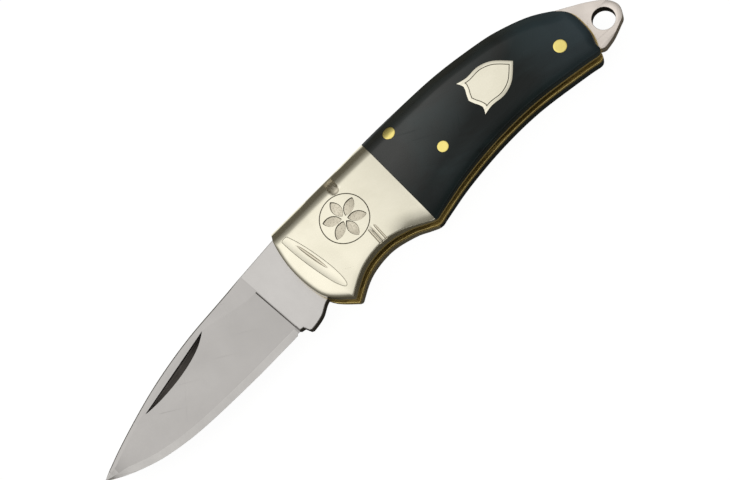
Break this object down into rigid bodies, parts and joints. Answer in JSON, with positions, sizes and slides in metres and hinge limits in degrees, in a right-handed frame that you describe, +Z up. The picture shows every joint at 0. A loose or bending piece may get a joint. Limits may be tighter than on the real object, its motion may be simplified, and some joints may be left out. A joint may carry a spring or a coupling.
{
  "type": "folding pocket knife",
  "caption": "Small folding pocket knife, open: drop-point blade on a slipjoint pivot, metal bolsters, dark horn scales, brass liners and a backspring that ends in a lanyard tab.",
  "frame": {"origin": "where the pivot's axis meets the flat outer face of the far bolster, on which the knife lies", "axes": "+X from the pivot to the tail, with the open blade along -X; +Y from the cutting edge to the spine; +Z up, through the knife's thickness towards the side with the nail nick and shield"},
  "size_m": [0.1249, 0.0213, 0.009],
  "materials": {
    "blade_steel": "satin",
    "spring_steel": "satin",
    "nickel_silver": "polished",
    "brass": "polished",
    "horn": "gloss"
  },
  "bodies": {
    "handle": {"backspring": "spring_steel", "pivot_pin": "spring_steel", "near_bolster": "nickel_silver", "far_bolster": "nickel_silver", "near_bolster_rivet_upper": "nickel_silver", "near_bolster_rivet_lower": "nickel_silver", "far_bolster_rivet_upper": "nickel_silver", "far_bolster_rivet_lower": "nickel_silver", "near_liner": "brass", "far_liner": "brass", "near_scale": "horn", "far_scale": "horn", "spring_pin": "brass", "tail_pin": "brass", "near_scale_rivet": "brass", "far_scale_rivet": "brass", "shield": "nickel_silver", "shield_rivet_front": "nickel_silver", "shield_rivet_rear": "nickel_silver"},
    "blade": {"blade": "blade_steel"}
  },
  "joints": [
    {"name": "blade_pivot", "type": "hinge", "parent": "handle", "child": "blade", "pos_m": [0, 0, 0.0045], "axis": [0, 0, 1], "range_deg": [0, 172]}
  ]
}
